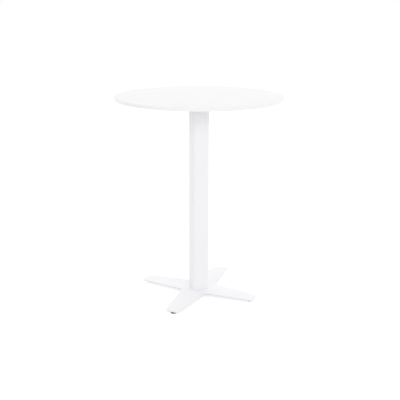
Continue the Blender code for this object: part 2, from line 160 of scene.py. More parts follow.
class SpiderSizes(PropertyGroup):
    """The four-armed carrier under the board."""

    reach: size("Reach", "From the axis to the end of an arm", 0.140)
    tip_width: size("Tip width", "Width of an arm at its end", 0.028)
    taper: slope("Side taper", "Growth of an arm's half-width towards the hub", 0.110)
    fillet_radius: size("Fillet radius", "Of the corners between two arms", 0.022)
    corner_radius: size("Tip corner radius", "Of the corners at an arm's end", 0.009)
    thickness: size("Thickness", "Of the arms", 0.005)
    edge_rounding: size("Edge rounding", "Radius along the upper edges", 0.0010)
    lower_rounding: size("Lower rounding", "Radius along the lower edges", 0.0010)
    spigot_height: size("Spigot height", "Depth of the spigot in the column", 0.018)
    rod_seat: size("Rod seat", "Iron that the tie rod clamps", 0.008)
    inner_screw: size("Inner screws", "Distance of the inner screws from the axis", 0.070)
    end_margin: size("Outer screw margin", "From an outer screw to the end of its arm", 0.012)


class BaseSizes(PropertyGroup):
    """The flat casting with four tapered arms."""

    reach: size("Reach", "From the axis to the end of an arm", BASE_SPAN.x / 2)
    tip_width: size("Tip width", "Width of an arm at its end", 0.053)
    taper: slope("Side taper", "Growth of an arm's half-width towards the hub", 0.115)
    fillet_radius: size("Fillet radius", "Of the corners between two arms", 0.0145)
    corner_radius: size("Tip corner radius", "Of the corners at an arm's end", 0.006)
    tip_height: size("Tip height", "Height of the upper face at an arm's end", 0.0147)
    rise: size("Rise", "From the end of an arm up to the column's seat", 0.0025)
    edge_height: size("Edge height", "Height of an arm's side", 0.007)
    edge_rounding: size("Edge rounding", "Radius along the upper edges", 0.0011)
    lower_rounding: size("Lower rounding", "Radius along the lower edges of the sides", 0.0042)
    end_share: share("End share", "Part of the lower rounding's width at the arms' ends", 0.30)
    roof: size("Roof", "Iron above the pockets under an arm", 0.0035)
    skirt: size("Skirt", "Wall between a pocket and an arm's side", 0.0045)
    rib_width: size("Rib width", "Of the rib along the middle of an arm", 0.008)
    pocket_radius: size("Pocket radius", "Of a pocket's corners", 0.003)
    pocket_draft: size("Pocket draft", "How much a pocket narrows towards its roof", 0.0005)
    spigot_height: size("Spigot height", "Height of the spigot in the column", 0.012)
    rod_seat: size("Rod seat", "Iron that the tie rod clamps", 0.010)
    hub_diameter: size("Hub diameter", "Of the boss under the column", 0.050)
    hub_depth: size("Hub depth", "From the column's seat to the bottom of the hub", 0.012)


class FastenerSizes(PropertyGroup):
    """Wood screws, the tie rod and what is on it."""

    screw_diameter: size("Screw diameter", "Of a wood screw, over its thread", 0.004)
    screw_bite: size("Screw bite", "Depth of a wood screw in the board", 0.008)
    screw_pitch: size("Screw pitch", "Of a wood screw's thread", 0.0018)
    screw_head: size("Screw head", "Diameter of a wood screw's head", 0.008)
    screw_head_height: size("Screw head height", "Of a wood screw", 0.0026)
    rod_diameter: size("Rod diameter", "Of the tie rod, over its thread", 0.008)
    rod_pitch: size("Rod pitch", "Of the tie rod's thread", 0.00125)
    rod_thread: size("Rod thread", "Length of thread at each end of the rod", 0.030)
    rod_overhang: size("Rod overhang", "Thread past each nut", 0.0025)
    nut_flats: size("Nut flats", "Across a nut's flats", 0.013)
    nut_height: size("Nut height", "Of a nut", 0.0065)
    washer_diameter: size("Washer diameter", "Of a flat washer", 0.016)
    washer_thickness: size("Washer thickness", "Of a flat washer", 0.0016)
    spanner_room: size("Spanner room", "All round a washer, for a box spanner", 0.0035)
    spring_diameter: size("Spring washer diameter", "Of the split spring washer", 0.0148)
    spring_thickness: size("Spring washer thickness", "Of the split spring washer", 0.002)
    spring_split: size("Spring washer split", "Gap between the ends of the spring washer", 0.0018)


class FootSizes(PropertyGroup):
    """A levelling foot, screwed all the way in."""

    setback: size("Setback", "From the end of an arm to the foot's axis", 0.017)
    boss_diameter: size("Boss diameter", "Of the boss above a foot", 0.018)
    boss_roof: size("Boss roof", "Iron above a foot's threaded hole", 0.002)
    pad_diameter: size("Pad diameter", "Of the plastic pad", PAD_SPAN.x)
    pad_height: size("Pad height", "Of the plastic pad", PAD_SPAN.z)
    pad_rounding: size("Pad rounding", "Radius along the pad's edges", 0.0008)
    pad_dish: size("Pad dish", "How far the pad's rim lies below its middle", 0.001)
    pad_floor: size("Pad floor", "Plastic under the spindle", 0.0015)
    tread_depth: size("Tread depth", "Of the grooves under the pad", 0.0004)
    tread_width: size("Tread width", "Of the grooves under the pad", 0.001)
    collar_diameter: size("Collar diameter", "Of the spindle's collar in the pad", 0.009)
    collar_height: size("Collar height", "Of the spindle's collar", 0.0012)
    neck_diameter: size("Neck diameter", "Of the spindle between collar and hexagon", 0.0055)
    spindle_diameter: size("Spindle diameter", "Over the spindle's thread", 0.006)
    pitch: size("Thread pitch", "Rise for each turn of the spindle", 0.001)
    hex_flats: size("Hexagon flats", "Across the spindle's hexagon", 0.010)
    hex_height: size("Hexagon height", "Of the spindle's hexagon", 0.0022)


class Finishes(PropertyGroup):
    """Colours and gloss of the materials."""

    coat: tint("Powder coat", "White coat on column, base and spider", (0.910, 0.907, 0.930))
    coat_roughness: share("Coat roughness", "Of the powder coat", 0.42)
    facing: tint("Board facing", "White facing of the board", (0.920, 0.920, 0.920))
    facing_roughness: share("Facing roughness", "Of the board's facing", 0.38)
    band: tint("Edge band", "White plastic of the edge band", (0.90, 0.90, 0.90))
    band_roughness: share("Band roughness", "Of the edge band", 0.36)
    zinc: tint("Zinc", "Plated steel of screws, nuts, rod and spindles", (0.66, 0.67, 0.68))
    zinc_roughness: share("Zinc roughness", "Of the plated steel", 0.34)
    plastic: tint("Black plastic", "Moulded plastic of the feet", (0.018, 0.018, 0.020))
    plastic_roughness: share("Plastic roughness", "Of the moulded plastic", 0.55)


class StageSettings(PropertyGroup):
    """Floor, light and camera."""

    floor: tint("Floor", "Pale floor, as it lights the table", (0.80, 0.80, 0.80))
    floor_glow: share("Floor glow", "Even white of the floor at the table, that no shadow takes away", 0.80)
    floor_shade: share("Floor shade", "White of the floor that the table's shadow takes away", 0.34)
    glow_start: size("Glow start", "Distance from the axis where the floor begins to fade to white", 0.6)
    glow_end: size("Glow end", "Distance from the axis where the floor is white", 3.0)
    ambient: share("Ambient light", "White light from all round", 0.80)
    left_power: power("Left lamp", "Soft lamp in front on the left", 8.8)
    right_power: power("Right lamp", "Soft lamp in front on the right", 14.5)
    side_power: power("Side lamp", "Soft lamp beside the table on the right", 5.2)
    rear_left_power: power("Rear left lamp", "Soft lamp behind the table on the left", 5.8)
    rear_right_power: power("Rear right lamp", "Soft lamp behind the table on the right", 3.0)
    high_power: power("High lamp", "Wide lamp above the table, behind it", 10.4)
    lens: FloatProperty(
        name="Lens",
        description="Focal length",
        default=59.70,
        min=1.0,
        subtype="DISTANCE_CAMERA",
        unit="CAMERA",
    )
    distance: size("Camera distance", "Level distance from the table's axis", 2.3587)
    eye_height: size("Camera height", "Above the floor", 1.0588)
    azimuth: tilt("Camera azimuth", "Round the table, from the front arm to the right", 24.71)
    heading_trim: tilt("Heading trim", "How far the camera looks past the axis, to the right", 0.106)
    pitch: tilt("Camera pitch", "How far the camera looks down", 16.42)
    roll: tilt("Camera roll", "Lean of the picture, clockwise", 0.18)


class RoundTableSettings(PropertyGroup):
    """All that can be changed on the table and its stage."""

    top: PointerProperty(type=TopSizes)
    column: PointerProperty(type=ColumnSizes)
    spider: PointerProperty(type=SpiderSizes)
    base: PointerProperty(type=BaseSizes)
    fastener: PointerProperty(type=FastenerSizes)
    foot: PointerProperty(type=FootSizes)
    finish: PointerProperty(type=Finishes)
    stage: PointerProperty(type=StageSettings)


# Heights and places that follow from the sizes
def underside_of_top(table):
    """Height of the board's lower face."""
    return table.top.height - table.top.thickness


def spider_bottom(table):
    """Height of the lower face of the spider's arms."""
    return underside_of_top(table) - SEAT_GAP - table.spider.thickness


def hub_top(table):
    """Height of the face that the column stands on."""
    return table.base.tip_height + table.base.rise


def base_rod_seat(table):
    """Height of the face that the lower washer bears on."""
    return hub_top(table) + table.base.spigot_height - table.base.rod_seat


def spider_rod_seat(table):
    """Height of the face that the upper washer bears on."""
    return spider_bottom(table) - table.spider.spigot_height + table.spider.rod_seat


def spanner_bore(table):
    """Diameter of the recesses for the nuts and a box spanner."""
    return table.fastener.washer_diameter + 2 * table.fastener.spanner_room


def spigot_section(table):
    """Side and corner radius of a spigot that fits in the column."""
    column = table.column
    side = column.side - 2 * (column.wall + FIT_GAP)
    corner = column.corner_radius - column.wall - FIT_GAP
    return side, corner


def foot_radius(table):
    """Distance of the feet from the table's axis."""
    return table.base.reach - table.foot.setback


def foot_boss_bottom(table):
    """Height of the bosses' lower faces, clear of the feet's hexagons."""
    return table.foot.pad_height + table.foot.hex_height + 2 * FIT_GAP


def foot_places(table):
    """The feet's places, in the order of FOOT_SIDES."""
    radius = foot_radius(table)
    return [(radius * math.cos(angle), radius * math.sin(angle)) for angle in ARM_ANGLES]


def screw_places(table):
    """The wood screws' places: an inner and an outer one on each arm of the spider."""
    spider = table.spider
    places = []
    for angle in ARM_ANGLES:
        for distance in (spider.inner_screw, spider.reach - spider.end_margin):
            places.append((distance * math.cos(angle), distance * math.sin(angle)))
    return places


# Rings of points
def polar(radius, angle, height):
    """A point by its distance from the axis, its angle and its height."""
    return Vector((radius * math.cos(angle), radius * math.sin(angle), height))


def round_angles(facets):
    """Even angles all round."""
    return [2 * math.pi * i / facets for i in range(facets)]


def ring(diameter, height, facets=ROUND_FACETS, centre=(0.0, 0.0)):
    """A level circle of points, anticlockwise from above."""
    points = []
    for angle in round_angles(facets):
        x = centre[0] + diameter / 2 * math.cos(angle)
        y = centre[1] + diameter / 2 * math.sin(angle)
        points.append(Vector((x, y, height)))
    return points


def hexagon(flats, height, fall, crown):
    """A hexagon whose corners fall away outside the diameter crown, as a turned chamfer leaves them."""
    points = []
    for angle in round_angles(ROUND_FACETS):
        radius = flats / 2 / math.cos(angle % (math.pi / 3) - math.pi / 6)
        drop = fall * max(radius - crown / 2, 0.0)
        points.append(polar(radius, angle, height - drop))
    return points


def chamfered_hexagon(flats, crown, low, high):
    """Rings of a hexagon with both ends chamfered down to the diameter crown."""
    return [
        ring(crown, low),
        hexagon(flats, low, -CHAMFER_FALL, crown),
        hexagon(flats, high, CHAMFER_FALL, crown),
        ring(crown, high),
    ]


def rounded_square(side, corner_radius, height):
    """A level square with round corners, turned like the column."""
    points = []
    inset = side / 2 - corner_radius
    for arm in ARM_ANGLES:
        spin = Matrix.Rotation(COLUMN_TURN + arm, 3, "Z")
        for i in range(CORNER_STEPS + 1):
            angle = math.pi / 2 * i / CORNER_STEPS
            x = inset + corner_radius * math.cos(angle)
            y = inset + corner_radius * math.sin(angle)
            points.append(spin @ Vector((x, y, 0.0)) + Vector((0.0, 0.0, height)))
    return points


def round_off(corners, steps=EDGE_STEPS, closed=True):
    """Points of a line whose corners (x, y, radius) are arcs; a radius of zero keeps a corner sharp."""
    points = []
    count = len(corners)
    for i, (x, y, radius) in enumerate(corners):
        corner = Vector((x, y))
        if radius == 0.0 or (not closed and i in (0, count - 1)):
            points.append(corner)
            continue
        back = (Vector(corners[i - 1][:2]) - corner).normalized()
        ahead = (Vector(corners[(i + 1) % count][:2]) - corner).normalized()
        half = back.angle(ahead) / 2
        middle = corner + (back + ahead).normalized() * radius / math.sin(half)
        start = corner + back * radius / math.tan(half) - middle
        end = corner + ahead * radius / math.tan(half) - middle
        sweep = math.atan2(start.cross(end), start.dot(end))
        for k in range(steps + 1):
            points.append(middle + Matrix.Rotation(sweep * k / steps, 2) @ start)
    return points


def thread_rings(diameter, depth, pitch, low, high, facets=ROUND_FACETS, point_share=1.0):
    """Rings of a right-hand thread with rounded crests.

    point_share is the part of the diameter that is left at its upper end.
    """
    rows = max(round((high - low) / pitch * THREAD_ROWS), 2)
    core = (diameter - 2 * depth) / 2
    rings = []
    for row in range(rows + 1):
        along = row / rows
        height = low + (high - low) * row / rows
        fade = min(1.0, (height - low) / pitch, (high - height) / pitch)
        shrink = min(1.0, point_share + (1.0 - point_share) * (1.0 - along) / POINT_LENGTH)
        points = []
        for angle in round_angles(facets):
            phase = 2 * math.pi * (height - low) / pitch - angle
            crest = (0.5 + 0.5 * math.cos(phase)) ** CREST_SHARPNESS
            radius = (core + depth * crest * fade) * shrink
            points.append(polar(radius, angle, height))
        rings.append(points)
    return rings


# Solids from rings
def bridge(bm, rows, closed=False):
    """Join rows of equal count with quads; closed joins the last row to the first as well."""
    pairs = list(zip(rows, rows[1:]))
    if closed:
        pairs.append((rows[-1], rows[0]))
    for low, high in pairs:
        for i in range(len(low)):
            j = (i + 1) % len(low)
            bm.faces.new((low[i], low[j], high[j], high[i]))


def loft(bm, rings, closed=False):
    """A solid through rings of points, with its two ends capped or joined to each other."""
    rows = [[bm.verts.new(point) for point in points] for points in rings]
    if not closed:
        bm.faces.new(rows[0])
        bm.faces.new(rows[-1])
    bridge(bm, rows, closed)


def turned(bm, profile, facets=ROUND_FACETS, centre=(0.0, 0.0)):
    """A turned solid from a list of (diameter, height)."""
    loft(bm, [ring(diameter, height, facets, centre) for diameter, height in profile])


def arm_outline(reach, tip_width, taper, fillet_radius, corner_radius):
    """One arm of a star along +X, round its tip from the diagonal on its -Y side to the one on +Y."""
    slant = math.hypot(1.0, taper)
    lean = math.atan(taper)
    half = tip_width / 2
    middle = (half + taper * reach + fillet_radius * slant) / (1 + taper)
    corner_x = reach - corner_radius
    corner_y = half + (taper - slant) * corner_radius
    side = []
    for i in range(CORNER_STEPS + 1):
        angle = (math.pi / 2 - lean) * i / CORNER_STEPS
        side.append((corner_x + corner_radius * math.cos(angle), corner_y + corner_radius * math.sin(angle)))
    for i in range(CORNER_STEPS + 1):
        angle = -math.pi / 2 - lean - (math.pi / 4 - lean) * i / CORNER_STEPS
        side.append((middle + fillet_radius * math.cos(angle), middle + fillet_radius * math.sin(angle)))
    return [(x, -y) for x, y in reversed(side)] + side


def inset_outline(star, inset, end_share=1.0):
    """The outline of an arm, moved in from its edge; its end moves by the part end_share of that."""
    slant = math.hypot(1.0, star.taper)
    end_inset = inset * end_share
    return arm_outline(
        star.reach - end_inset,
        star.tip_width + 2 * (end_inset * star.taper - inset * slant),
        star.taper,
        star.fillet_radius + inset,
        star.corner_radius - inset,
    )


def star_slab(bm, star, bottom, top, end_share=1.0):
    """A slab with four arms and rounded edges.

    bottom and top give its heights at a distance along an arm. end_share narrows the lower rounding at
    the ends of the arms.
    """
    lower = star.lower_rounding
    upper = star.edge_rounding
    layers = []
    for i in range(EDGE_STEPS + 1):
        angle = math.pi / 2 * i / EDGE_STEPS
        layers.append((lower * (1 - math.sin(angle)), end_share, bottom, lower * (1 - math.cos(angle))))
    for i in range(EDGE_STEPS + 1):
        angle = math.pi / 2 * i / EDGE_STEPS
        layers.append((upper * (1 - math.cos(angle)), 1.0, top, -upper * (1 - math.sin(angle))))
    rims = []
    for inset, at_end, height, lift in layers:
        outline = inset_outline(star, inset, at_end)
        arms = []
        for angle in ARM_ANGLES:
            spin = Matrix.Rotation(angle, 3, "Z")
            arms.append([bm.verts.new(spin @ Vector((x, y, height(x) + lift))) for x, y in outline[:-1]])
        rims.append(arms)
    for arms in (rims[0], rims[-1]):
        for arm, following in zip(arms, arms[1:] + arms[:1]):
            bm.faces.new(arm + [following[0]])
        bm.faces.new([arm[0] for arm in arms])
    bridge(bm, [[vertex for arm in arms for vertex in arm] for arms in rims])


# Pieces from solids
def mesh_object(name, bm):
    """An object from a bmesh, with its faces pointing out."""
    bmesh.ops.recalc_face_normals(bm, faces=bm.faces)
    mesh = bpy.data.meshes.new(name)
    bm.to_mesh(mesh)
    bm.free()
    obj = bpy.data.objects.new(name, mesh)
    bpy.context.scene.collection.objects.link(obj)
    return obj


def apply_modifiers(obj):
    """Keep the shape that an object's modifiers give it."""
    depsgraph = bpy.context.evaluated_depsgraph_get()
    shaped = obj.evaluated_get(depsgraph)
    mesh = bpy.data.meshes.new_from_object(shaped, preserve_all_data_layers=True, depsgraph=depsgraph)
    plain = obj.data
    obj.modifiers.clear()
    obj.data = mesh
    bpy.data.meshes.remove(plain)
    mesh.name = obj.name


def carve(obj, operation, bm):
    """Join a shape to an object, or cut it out."""
    tool = mesh_object("carving_tool", bm)
    boolean = obj.modifiers.new("carve", "BOOLEAN")
    boolean.operation = operation
    boolean.object = tool
    apply_modifiers(obj)
    tool_mesh = tool.data
    bpy.data.objects.remove(tool)
    bpy.data.meshes.remove(tool_mesh)
    if not obj.data.polygons:
        raise RuntimeError(f"{obj.name}: a cut left nothing")


def shade(obj):
    """Smooth the round sides, and keep the flat faces flat."""
    obj.data.shade_smooth()
    obj.data.set_sharp_from_angle(angle=SHARP_ANGLE)
    even = obj.modifiers.new("even_normals", "WEIGHTED_NORMAL")
    even.keep_sharp = True
    apply_modifiers(obj)


# Shader nodes
NOISE_RANGE = {"From Min": 0.3, "From Max": 0.7}  # where most of a noise's values lie


def feed(tree, node, inputs):
    """Set a node's inputs: each gets a value, or a link from another node's output."""
    for socket, source in inputs.items():
        if isinstance(source, bpy.types.NodeSocket):
            tree.links.new(source, node.inputs[socket])
        else:
            node.inputs[socket].default_value = source


def add_node(tree, kind, place, inputs=None, **settings):
    """A node at a place, with its own settings and then its inputs."""
    node = tree.nodes.new(kind)
    node.location = place
    for name, value in settings.items():
        setattr(node, name, value)
    feed(tree, node, inputs or {})
    return node


def math_node(tree, place, operation, first, second, clamp=False):
    """The output of a math node with two inputs."""
    inputs = {0: first, 1: second}
    node = add_node(tree, "ShaderNodeMath", place, inputs, operation=operation, use_clamp=clamp)
    return node.outputs["Value"]


def noise_node(tree, scale, detail, distortion=0.0):
    """The output of a noise in an object's own coordinates."""
    place = add_node(tree, "ShaderNodeTexCoord", (-600, -200))
    inputs = {"Vector": place.outputs["Object"], "Scale": scale, "Detail": detail, "Distortion": distortion}
    return add_node(tree, "ShaderNodeTexNoise", (-350, -200), inputs).outputs["Fac"]


def node_group(name, inputs, outputs):
    """An empty group with named sockets: (label, kind, default) and (label, kind)."""
    tree = bpy.data.node_groups.new(name, "ShaderNodeTree")
    for label, kind, default in inputs:
        socket = tree.interface.new_socket(label, in_out="INPUT", socket_type=kind)
        socket.default_value = default
    for label, kind in outputs:
        tree.interface.new_socket(label, in_out="OUTPUT", socket_type=kind)
    start = add_node(tree, "NodeGroupInput", (-800, 0))
    end = add_node(tree, "NodeGroupOutput", (600, 0))
    return tree, start.outputs, end


def fine_relief_group():
    """Small bumps in a finish: so many for each metre, closer together along an axis that is squeezed."""
    name = "Fine Relief"
    if name in bpy.data.node_groups:
        return bpy.data.node_groups[name]
    tree, given, end = node_group(
        name,
        [
            ("Bumps per Metre", "NodeSocketFloat", 800.0),
            ("Squeeze", "NodeSocketVector", (1.0, 1.0, 1.0)),
            ("Detail", "NodeSocketFloat", 2.0),
        ],
        [("Height", "NodeSocketFloat")],
    )
    place = add_node(tree, "ShaderNodeTexCoord", (-600, 200))
    inputs = {0: place.outputs["Object"], 1: given["Squeeze"]}
    squeezed = add_node(tree, "ShaderNodeVectorMath", (-350, 100), inputs, operation="MULTIPLY")
    inputs = {
        "Vector": squeezed.outputs["Vector"],
        "Scale": given["Bumps per Metre"],
        "Detail": given["Detail"],
    }
    noise = add_node(tree, "ShaderNodeTexNoise", (-50, 100), inputs)
    feed(tree, end, {"Height": noise.outputs["Fac"]})
    return tree


def tone_drift_group():
    """Slow change of a finish from one tone to another."""
    name = "Tone Drift"
    if name in bpy.data.node_groups:
        return bpy.data.node_groups[name]
    tree, given, end = node_group(
        name,
        [
            ("Tone", "NodeSocketColor", (0.8, 0.8, 0.8, 1.0)),
            ("Other Tone", "NodeSocketColor", (0.7, 0.7, 0.7, 1.0)),
            ("Patches per Metre", "NodeSocketFloat", 6.0),
        ],
        [("Color", "NodeSocketColor")],
    )
    noise = noise_node(tree, given["Patches per Metre"], detail=4.0)
    spread = add_node(tree, "ShaderNodeMapRange", (-100, 150), {"Value": noise, **NOISE_RANGE})
    inputs = {"Factor": spread.outputs["Result"], "A": given["Tone"], "B": given["Other Tone"]}
    mix = add_node(tree, "ShaderNodeMix", (250, 100), inputs, data_type="RGBA")
    feed(tree, end, {"Color": mix.outputs["Result"]})
    return tree


def gloss_drift_group():
    """Uneven gloss, from handling and wiping."""
    name = "Gloss Drift"
    if name in bpy.data.node_groups:
        return bpy.data.node_groups[name]
    tree, given, end = node_group(
        name,
        [
            ("Smoothest", "NodeSocketFloat", 0.3),
            ("Roughest", "NodeSocketFloat", 0.5),
            ("Patches per Metre", "NodeSocketFloat", 20.0),
        ],
        [("Roughness", "NodeSocketFloat")],
    )
    noise = noise_node(tree, given["Patches per Metre"], detail=6.0, distortion=0.6)
    inputs = {"Value": noise, **NOISE_RANGE, "To Min": given["Smoothest"], "To Max": given["Roughest"]}
    spread = add_node(tree, "ShaderNodeMapRange", (100, 100), inputs)
    feed(tree, end, {"Roughness": spread.outputs["Result"]})
    return tree


def edge_rub_group():
    """A mask of rubbed edges: where the surface turns within a width, broken up by noise."""
    name = "Edge Rub"
    if name in bpy.data.node_groups:
        return bpy.data.node_groups[name]
    tree, given, end = node_group(
        name,
        [
            ("Width", "NodeSocketFloat", 0.001),
            ("Breaks per Metre", "NodeSocketFloat", 60.0),
            ("Strength", "NodeSocketFloat", 4.0),
        ],
        [("Mask", "NodeSocketFloat")],
    )
    rounded = add_node(tree, "ShaderNodeBevel", (-600, 250), {"Radius": given["Width"]}, samples=4)
    surface = add_node(tree, "ShaderNodeNewGeometry", (-600, 0))
    inputs = {0: rounded.outputs["Normal"], 1: surface.outputs["Normal"]}
    alike = add_node(tree, "ShaderNodeVectorMath", (-350, 200), inputs, operation="DOT_PRODUCT")
    turning = math_node(tree, (-150, 200), "SUBTRACT", 1.0, alike.outputs["Value"])
    noise = noise_node(tree, given["Breaks per Metre"], detail=3.0)
    broken = math_node(tree, (50, 100), "MULTIPLY", turning, noise)
    mask = math_node(tree, (250, 50), "MULTIPLY", broken, given["Strength"], clamp=True)
    feed(tree, end, {"Mask": mask})
    return tree


def add_group(tree, group, place, inputs):
    """A group in a material, with its own inputs."""
    return add_node(tree, "ShaderNodeGroup", place, inputs, node_tree=group)


def shifted(colour, factor):
    """A colour made lighter or darker, with an alpha."""
    return (*(min(channel * factor, 1.0) for channel in colour), 1.0)


# How a finish varies; patches, bumps and breaks are counted for each metre
Gloss = namedtuple("Gloss", "smoothest roughest patches")
Relief = namedtuple("Relief", "bumps squeeze detail height")
Rub = namedtuple("Rub", "colour width breaks strength")
TONE_PATCHES = 5.0
EVEN = (1.0, 1.0, 1.0)  # squeeze of a relief that is alike in all directions


def finish_material(name, tone, other_tone, gloss, relief, rub, metallic=0.0):
    """A material with drifting tone and gloss, a fine relief and rubbed edges; made once."""
    if name in bpy.data.materials:
        return bpy.data.materials[name]
    material = bpy.data.materials.new(name)
    material.use_nodes = True
    tree = material.node_tree
    tones = add_group(
        tree,
        tone_drift_group(),
        (-900, 400),
        {"Tone": tone, "Other Tone": other_tone, "Patches per Metre": TONE_PATCHES},
    )
    rubbed = add_group(
        tree,
        edge_rub_group(),
        (-900, 150),
        {"Width": rub.width, "Breaks per Metre": rub.breaks, "Strength": rub.strength},
    )
    inputs = {"Factor": rubbed.outputs["Mask"], "A": tones.outputs["Color"], "B": rub.colour}
    colour = add_node(tree, "ShaderNodeMix", (-550, 350), inputs, data_type="RGBA")
    uneven = add_group(
        tree,
        gloss_drift_group(),
        (-550, 100),
        {"Smoothest": gloss.smoothest, "Roughest": gloss.roughest, "Patches per Metre": gloss.patches},
    )
    grain = add_group(
        tree,
        fine_relief_group(),
        (-900, -150),
        {"Bumps per Metre": relief.bumps, "Squeeze": relief.squeeze, "Detail": relief.detail},
    )
    inputs = {"Strength": 1.0, "Distance": relief.height, "Height": grain.outputs["Height"]}
    bump = add_node(tree, "ShaderNodeBump", (-550, -150), inputs)
    inputs = {
        "Metallic": metallic,
        "Base Color": colour.outputs["Result"],
        "Roughness": uneven.outputs["Roughness"],
        "Normal": bump.outputs["Normal"],
    }
    feed(tree, tree.nodes["Principled BSDF"], inputs)
    return material


def coat_material(finish):
    """White powder coat: a shallow orange peel, thinner and a little brighter on the edges."""
    rough = finish.coat_roughness
    return finish_material(
        "white_powder_coat",
        shifted(finish.coat, 1.0),
        shifted(finish.coat, 0.985),
        Gloss(smoothest=rough - 0.05, roughest=rough + 0.05, patches=25.0),
        Relief(bumps=650.0, squeeze=EVEN, detail=1.5, height=0.00004),
        Rub(colour=shifted(finish.coat, 1.03), width=0.0012, breaks=80.0, strength=1.2),
    )


def facing_material(finish):
    """White board facing with a fine pearl grain."""
    rough = finish.facing_roughness
    return finish_material(
        "white_board_facing",
        shifted(finish.facing, 1.0),
        shifted(finish.facing, 0.99),
        Gloss(smoothest=rough - 0.05, roughest=rough + 0.06, patches=14.0),
        Relief(bumps=1800.0, squeeze=EVEN, detail=2.0, height=0.00002),
        Rub(colour=shifted(finish.facing, 0.97), width=0.0004, breaks=60.0, strength=1.0),
    )


def band_material(finish):
    """White plastic edge band, with faint lines along it from scraping."""
    rough = finish.band_roughness
    return finish_material(
        "white_edge_band",
        shifted(finish.band, 1.0),
        shifted(finish.band, 0.985),
        Gloss(smoothest=rough - 0.05, roughest=rough + 0.05, patches=30.0),
        Relief(bumps=160.0, squeeze=(1.0, 1.0, 14.0), detail=2.0, height=0.00002),
        Rub(colour=shifted(finish.band, 1.02), width=0.0008, breaks=90.0, strength=1.2),
    )


def zinc_material(finish):
    """Zinc plate on steel: a slightly warmer tone in patches, fine level lines and rubbed edges."""
    rough = finish.zinc_roughness
    red, green, blue = finish.zinc
    return finish_material(
        "zinc_plated_steel",
        shifted(finish.zinc, 1.0),
        (red * 1.02, green * 0.98, blue * 0.90, 1.0),
        Gloss(smoothest=rough - 0.10, roughest=rough + 0.12, patches=180.0),
        Relief(bumps=900.0, squeeze=(1.0, 1.0, 5.0), detail=3.0, height=0.00003),
        Rub(colour=shifted(finish.zinc, 1.15), width=0.0004, breaks=300.0, strength=3.0),
        metallic=1.0,
    )


def plastic_material(finish):
    """Black moulded plastic with a fine spark grain, scuffed grey along its edges."""
    rough = finish.plastic_roughness
    return finish_material(
        "black_moulded_plastic",
        shifted(finish.plastic, 1.0),
        shifted(finish.plastic, 1.5),
        Gloss(smoothest=rough - 0.10, roughest=rough + 0.12, patches=150.0),
        Relief(bumps=2600.0, squeeze=EVEN, detail=2.0, height=0.00005),
        Rub(colour=shifted(finish.plastic, 4.0), width=0.0006, breaks=260.0, strength=1.6),
    )


# What makes the material of each slot
MATERIALS = {
    "white_coat": coat_material,
    "white_facing": facing_material,
    "white_edge": band_material,
    "zinc_steel": zinc_material,
    "black_plastic": plastic_material,
}


def dress(obj, finish, slot, body, node):
    """Give a piece the material of its slot, and put it on the frame in place of a solid."""
    if not obj.data.materials:
        obj.data.materials.append(MATERIALS[slot](finish))
    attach(obj, body)
    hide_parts(node)


def add_piece(name, rings, finish, slot, body, node, closed=False):
    """A piece that is one loft through rings: made, smoothed and dressed."""
    bm = bmesh.new()
    loft(bm, rings, closed)
    piece = mesh_object(name, bm)
    shade(piece)
    dress(piece, finish, slot, body, node)


# Stage
WHITE = (1.0, 1.0, 1.0, 1.0)


def backdrop_rays(tree, place):
    """One where a ray from the camera, or one reflected or passed through, meets the stage."""
    x, y = place
    path = add_node(tree, "ShaderNodeLightPath", place).outputs
    seen = math_node(tree, (x + 200, y), "MAXIMUM", path["Is Camera Ray"], path["Is Glossy Ray"])
    return math_node(tree, (x + 400, y), "MAXIMUM", seen, path["Is Transmission Ray"])


def floor_material(stage):
    """A pale floor that fades to white, keeps the table's shadow and is clear when seen from below."""
    material = bpy.data.materials.new("pale_floor")
    material.use_nodes = True
    tree = material.node_tree
    tree.nodes.clear()
    lighting = add_node(tree, "ShaderNodeBsdfDiffuse", (-200, 200), {"Color": (*stage.floor, 1.0)})
    inputs = {"Color": (stage.floor_shade,) * 3 + (1.0,)}
    shaded = add_node(tree, "ShaderNodeBsdfDiffuse", (-400, 0), inputs)
    surface = add_node(tree, "ShaderNodeNewGeometry", (-1000, -150))
    inputs = {0: surface.outputs["Position"]}
    distance = add_node(tree, "ShaderNodeVectorMath", (-800, -150), inputs, operation="LENGTH")
    inputs = {
        "Value": distance.outputs["Value"],
        "From Min": stage.glow_start,
        "From Max": stage.glow_end,
        "To Min": stage.floor_glow,
        "To Max": 1.0,
    }
    fade = add_node(tree, "ShaderNodeMapRange", (-600, -150), inputs, interpolation_type="SMOOTHSTEP")
    glow = add_node(tree, "ShaderNodeEmission", (-400, -150), {"Strength": fade.outputs["Result"]})
    inputs = {0: shaded.outputs["BSDF"], 1: glow.outputs["Emission"]}
    white = add_node(tree, "ShaderNodeAddShader", (-200, -50), inputs)
    inputs = {
        "Fac": backdrop_rays(tree, (-800, 350)),
        1: lighting.outputs["BSDF"],
        2: white.outputs["Shader"],
    }
    upper = add_node(tree, "ShaderNodeMixShader", (50, 50), inputs)
    lower = add_node(tree, "ShaderNodeBsdfTransparent", (50, -150))
    inputs = {"Fac": surface.outputs["Backfacing"], 1: upper.outputs["Shader"], 2: lower.outputs["BSDF"]}
    sided = add_node(tree, "ShaderNodeMixShader", (300, 50), inputs)
    add_node(tree, "ShaderNodeOutputMaterial", (500, 50), {"Surface": sided.outputs["Shader"]})
    return material


def build_floor(stage):
    """A wide floor, a hair below the feet."""
    half = 30.0
    height = -0.0002
    bm = bmesh.new()
    corners = ((-half, -half), (half, -half), (half, half), (-half, half))
    bm.faces.new([bm.verts.new((x, y, height)) for x, y in corners])
    mesh = bpy.data.meshes.new("stage_floor")
    bm.to_mesh(mesh)
    bm.free()
    floor = bpy.data.objects.new("stage_floor", mesh)
    bpy.context.scene.collection.objects.link(floor)
    mesh.materials.append(floor_material(stage))


